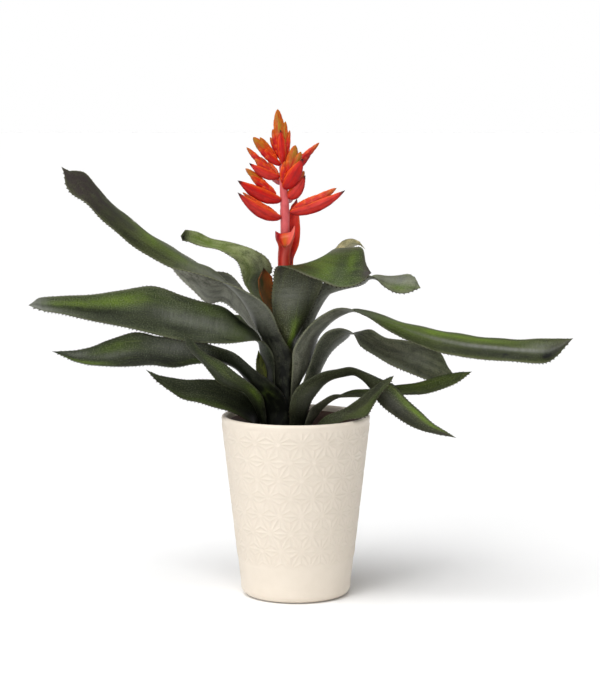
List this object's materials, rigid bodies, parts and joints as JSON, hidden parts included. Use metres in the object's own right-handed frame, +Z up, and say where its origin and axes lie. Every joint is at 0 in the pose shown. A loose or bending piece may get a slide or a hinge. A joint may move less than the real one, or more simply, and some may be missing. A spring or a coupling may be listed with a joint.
{
  "type": "potted bromeliad",
  "caption": "Bromeliad rosette of long toothed strap leaves with an upright red and orange flower head, in a tapered cream cover pot.",
  "frame": {"origin": "centre of the cover pot's flat base", "axes": "+Z up the pot's axis, -Y towards the side seen in the picture, +X to the right there"},
  "size_m": [0.497, 0.2749, 0.4558],
  "materials": {
    "glaze": "satin",
    "pot_plastic": "satin",
    "peat": "matte",
    "rootstock": "matte",
    "flower_stalk": "satin",
    "stalk_bract": "satin",
    "flower_bract": "satin",
    "leaf": "satin"
  },
  "bodies": {
    "root": {"cover_pot": "glaze", "nursery_pot": "pot_plastic", "soil": "peat", "stock": "rootstock", "scape": "flower_stalk", "leaf_left_high": "leaf", "leaf_left_behind": "leaf", "leaf_left_broad": "leaf", "leaf_left_low": "leaf", "leaf_front_left": "leaf", "leaf_left_lowest": "leaf", "leaf_upper_left": "leaf", "leaf_front_folded": "leaf", "leaf_right_behind": "leaf", "leaf_back_right": "leaf", "leaf_right_long": "leaf", "leaf_right_middle": "leaf", "leaf_right_arched": "leaf", "leaf_right_thin": "leaf", "leaf_front_right": "leaf", "leaf_small_left": "leaf", "leaf_back_high": "leaf", "leaf_back_middle": "leaf", "leaf_back_left": "leaf", "leaf_back_low": "leaf", "scape_bract_inner": "stalk_bract", "scape_bract_curled": "stalk_bract", "scape_bract_right": "stalk_bract", "spike_top": "flower_bract", "spike_left_upper": "flower_bract", "spike_left_second": "flower_bract", "spike_left_third": "flower_bract", "spike_left_fourth": "flower_bract", "spike_right_low": "flower_bract", "spike_front": "flower_bract", "spike_right_upper": "flower_bract", "spike_right_second": "flower_bract", "spike_back_low": "flower_bract", "spike_back_middle": "flower_bract", "spike_back_high": "flower_bract"}
  },
  "joints": []
}
